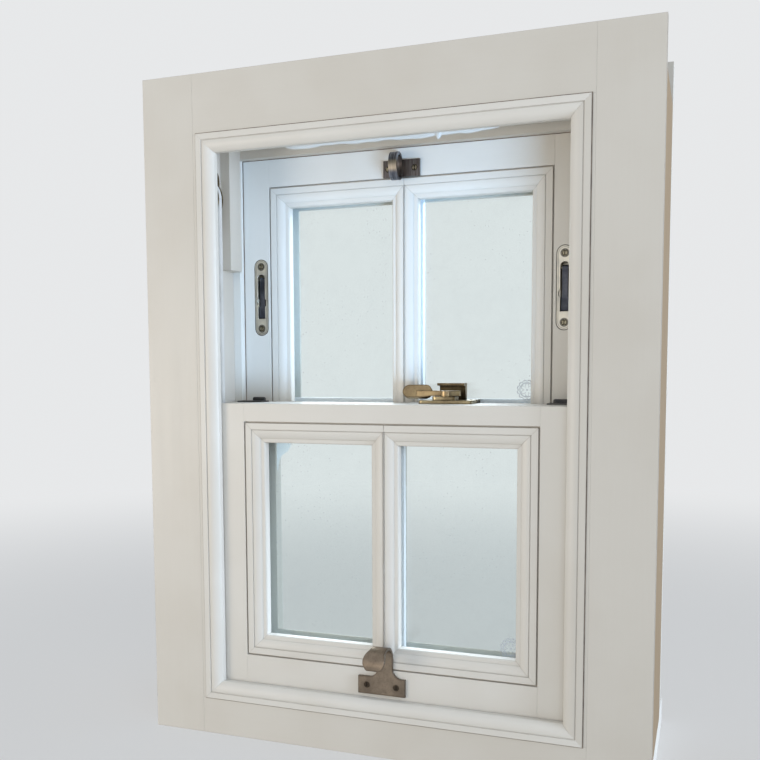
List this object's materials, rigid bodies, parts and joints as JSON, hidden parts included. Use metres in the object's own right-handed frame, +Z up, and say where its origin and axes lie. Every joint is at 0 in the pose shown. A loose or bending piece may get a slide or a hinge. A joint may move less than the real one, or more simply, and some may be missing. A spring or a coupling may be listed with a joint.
{
  "type": "box sash window",
  "caption": "Small painted timber double-hung sash window in its box frame, with cords, pulleys, hidden weights, cam fastener, hook lift, sash eye and travel restrictors.",
  "frame": {"origin": "middle of the sill's flat underside, between its room face and its drip groove", "axes": "+Z up the window, +X along it to the right as seen from the room, +Y from the room to the outside"},
  "size_m": [0.478, 0.199, 0.6317],
  "materials": {
    "painted_timber": "off-white eggshell paint",
    "bare_timber": "sawn softwood",
    "glass": "clear",
    "spacer_bar": "satin",
    "antique_brass": "aged, brown",
    "dark_tumbler": "dark, semi-gloss",
    "cast_iron": "rough",
    "cotton_cord": "braided cotton"
  },
  "bodies": {
    "frame": {"sill": "painted_timber", "head_board": "painted_timber", "pulley_stile_left": "painted_timber", "pulley_stile_right": "painted_timber", "inside_lining_left": "painted_timber", "inside_lining_right": "painted_timber", "inside_lining_head": "painted_timber", "inside_lining_bottom": "painted_timber", "outside_linings": "painted_timber", "parting_bead_left": "painted_timber", "parting_bead_right": "painted_timber", "parting_bead_head": "painted_timber", "staff_bead_left": "painted_timber", "staff_bead_right": "painted_timber", "staff_bead_top": "painted_timber", "staff_bead_bottom": "painted_timber", "stop_blocks": "painted_timber", "pocket_covers": "painted_timber", "back_linings": "bare_timber", "weight_dividers": "bare_timber", "pulley_cases": "antique_brass", "cord_lower_left": "cotton_cord", "cord_lower_right": "cotton_cord", "cord_upper_left": "cotton_cord", "cord_upper_right": "cotton_cord"},
    "lower_sash": {"lower_stile_left": "painted_timber", "lower_stile_right": "painted_timber", "lower_bottom_rail": "painted_timber", "lower_meeting_rail": "painted_timber", "lower_glazing_bar": "painted_timber", "lower_glazing_beads": "painted_timber", "lower_glass": "glass", "lower_spacers": "spacer_bar", "hook_lift": "antique_brass", "strike_plates": "antique_brass", "fastener_base": "antique_brass", "lower_screws": "antique_brass"},
    "upper_sash": {"upper_stile_left": "painted_timber", "upper_stile_right": "painted_timber", "upper_top_rail": "painted_timber", "upper_meeting_rail": "painted_timber", "upper_glazing_bar": "painted_timber", "upper_glazing_beads": "painted_timber", "upper_glass": "glass", "upper_spacers": "spacer_bar", "sash_eye": "antique_brass", "restrictor_plates": "antique_brass", "fastener_keep": "antique_brass", "upper_screws": "antique_brass"},
    "fastener_lever": {"fastener_lever": "antique_brass"},
    "tumbler_left": {"tumbler_left": "dark_tumbler"},
    "tumbler_right": {"tumbler_right": "dark_tumbler"},
    "pulley_wheel_lower_left": {"pulley_wheel_lower_left": "antique_brass"},
    "pulley_wheel_lower_right": {"pulley_wheel_lower_right": "antique_brass"},
    "pulley_wheel_upper_left": {"pulley_wheel_upper_left": "antique_brass"},
    "pulley_wheel_upper_right": {"pulley_wheel_upper_right": "antique_brass"},
    "weight_lower_left": {"weight_lower_left": "cast_iron"},
    "weight_lower_right": {"weight_lower_right": "cast_iron"},
    "weight_upper_left": {"weight_upper_left": "cast_iron"},
    "weight_upper_right": {"weight_upper_right": "cast_iron"}
  },
  "joints": [
    {"name": "lower_sash_slide", "type": "slide", "parent": "frame", "child": "lower_sash", "axis": [0, 0, 1], "range_m": [0, 0.128], "deforming": ["cord_lower_left", "cord_lower_right"]},
    {"name": "upper_sash_slide", "type": "slide", "parent": "frame", "child": "upper_sash", "axis": [0, 0, -1], "range_m": [0, 0.075], "deforming": ["cord_upper_left", "cord_upper_right"]},
    {"name": "fastener_turn", "type": "hinge", "parent": "lower_sash", "child": "fastener_lever", "pos_m": [0.051, -0.0315, 0.3343], "axis": [0, 0, -1], "range_deg": [-180, 0]},
    {"name": "tumbler_left_swing", "type": "hinge", "parent": "upper_sash", "child": "tumbler_left", "pos_m": [-0.1517, -0.0095, 0.4473], "axis": [1, 0, 0], "range_deg": [-90, 0]},
    {"name": "pulley_lower_left_turn", "type": "hinge", "parent": "frame", "child": "pulley_wheel_lower_left", "pos_m": [-0.19437, -0.059, 0.52038], "axis": [0, 1, 0], "range_deg": [-352.3, 0]},
    {"name": "pulley_upper_left_turn", "type": "hinge", "parent": "frame", "child": "pulley_wheel_upper_left", "pos_m": [-0.19437, 0.001, 0.52038], "axis": [0, 1, 0], "range_deg": [0, 206.9]},
    {"name": "weight_lower_left_slide", "type": "slide", "parent": "frame", "child": "weight_lower_left", "axis": [0, 0, 1], "range_m": [-0.128, 0]},
    {"name": "weight_upper_left_slide", "type": "slide", "parent": "frame", "child": "weight_upper_left", "axis": [0, 0, 1], "range_m": [0, 0.075]},
    {"name": "tumbler_right_swing", "type": "hinge", "parent": "upper_sash", "child": "tumbler_right", "pos_m": [0.1517, -0.0095, 0.4473], "axis": [1, 0, 0], "range_deg": [-90, 0]},
    {"name": "pulley_lower_right_turn", "type": "hinge", "parent": "frame", "child": "pulley_wheel_lower_right", "pos_m": [0.19437, -0.059, 0.52038], "axis": [0, 1, 0], "range_deg": [0, 352.3]},
    {"name": "pulley_upper_right_turn", "type": "hinge", "parent": "frame", "child": "pulley_wheel_upper_right", "pos_m": [0.19437, 0.001, 0.52038], "axis": [0, 1, 0], "range_deg": [-206.9, 0]},
    {"name": "weight_lower_right_slide", "type": "slide", "parent": "frame", "child": "weight_lower_right", "axis": [0, 0, 1], "range_m": [-0.128, 0]},
    {"name": "weight_upper_right_slide", "type": "slide", "parent": "frame", "child": "weight_upper_right", "axis": [0, 0, 1], "range_m": [0, 0.075]}
  ],
  "couplings": [
    {"joint": "pulley_lower_left_turn", "follows": "lower_sash_slide", "rad_per_m": -47.904},
    {"joint": "pulley_upper_left_turn", "follows": "upper_sash_slide", "rad_per_m": 47.904},
    {"joint": "weight_lower_left_slide", "follows": "lower_sash_slide", "ratio": -1},
    {"joint": "weight_upper_left_slide", "follows": "upper_sash_slide", "ratio": 1},
    {"joint": "pulley_lower_right_turn", "follows": "lower_sash_slide", "rad_per_m": 47.904},
    {"joint": "pulley_upper_right_turn", "follows": "upper_sash_slide", "rad_per_m": -47.904},
    {"joint": "weight_lower_right_slide", "follows": "lower_sash_slide", "ratio": -1},
    {"joint": "weight_upper_right_slide", "follows": "upper_sash_slide", "ratio": 1}
  ]
}
